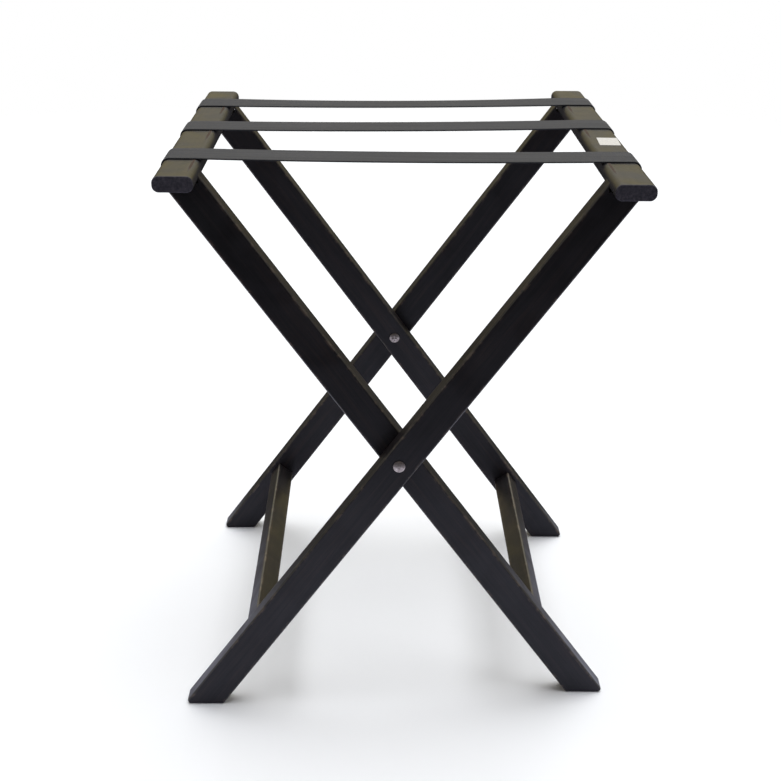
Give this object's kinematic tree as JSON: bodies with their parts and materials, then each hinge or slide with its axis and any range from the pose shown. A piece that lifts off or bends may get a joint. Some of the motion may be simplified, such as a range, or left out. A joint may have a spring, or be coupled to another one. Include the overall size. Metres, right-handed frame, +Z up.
{
  "type": "folding luggage rack",
  "caption": "Folding luggage rack: two crossed dark wooden frames on two pivots, held open by three grey webbing straps.",
  "frame": {"origin": "on the floor, under the middle of the open rack", "axes": "+Z up; +X across the rack in the folding direction, towards the outer frame's rail; Y along the rails, the front at -Y"},
  "size_m": [0.4238, 0.466, 0.5265],
  "materials": {
    "frame_wood": "satin black-brown stain and lacquer",
    "dowel_wood": "bare beech",
    "strap_webbing": "matt ribbed webbing",
    "pivot_steel": "nickel-plated, satin",
    "washer_nylon": "black nylon",
    "staple_steel": "galvanised",
    "label_paper": "blank matt sticker"
  },
  "bodies": {
    "outer_frame": {"front_strap_outer_wrap": "strap_webbing", "front_strap_span": "strap_webbing", "middle_strap_outer_wrap": "strap_webbing", "middle_strap_span": "strap_webbing", "outer_leg_back": "frame_wood", "outer_leg_front": "frame_wood", "outer_rail_dowels": "dowel_wood", "outer_rail_staples": "staple_steel", "outer_stretcher": "frame_wood", "outer_stretcher_dowels": "dowel_wood", "outer_top_rail": "frame_wood", "pivot_screw_back": "pivot_steel", "pivot_screw_front": "pivot_steel", "pivot_sleeve_nut_back": "pivot_steel", "pivot_sleeve_nut_front": "pivot_steel", "pivot_washer_back": "washer_nylon", "pivot_washer_front": "washer_nylon", "rail_label": "label_paper", "rear_strap_outer_wrap": "strap_webbing", "rear_strap_span": "strap_webbing"},
    "inner_frame": {"front_strap_inner_wrap": "strap_webbing", "inner_leg_back": "frame_wood", "inner_leg_front": "frame_wood", "inner_rail_dowels": "dowel_wood", "inner_rail_staples": "staple_steel", "inner_stretcher": "frame_wood", "inner_stretcher_dowels": "dowel_wood", "inner_top_rail": "frame_wood", "middle_strap_inner_wrap": "strap_webbing", "rear_strap_inner_wrap": "strap_webbing"}
  },
  "joints": [
    {"name": "fold", "type": "hinge", "parent": "outer_frame", "child": "inner_frame", "pos_m": [0, 0, 0.2548], "axis": [0, 1, 0], "range_deg": [0, 65], "deforming": ["front_strap_span", "middle_strap_span", "rear_strap_span"]}
  ]
}
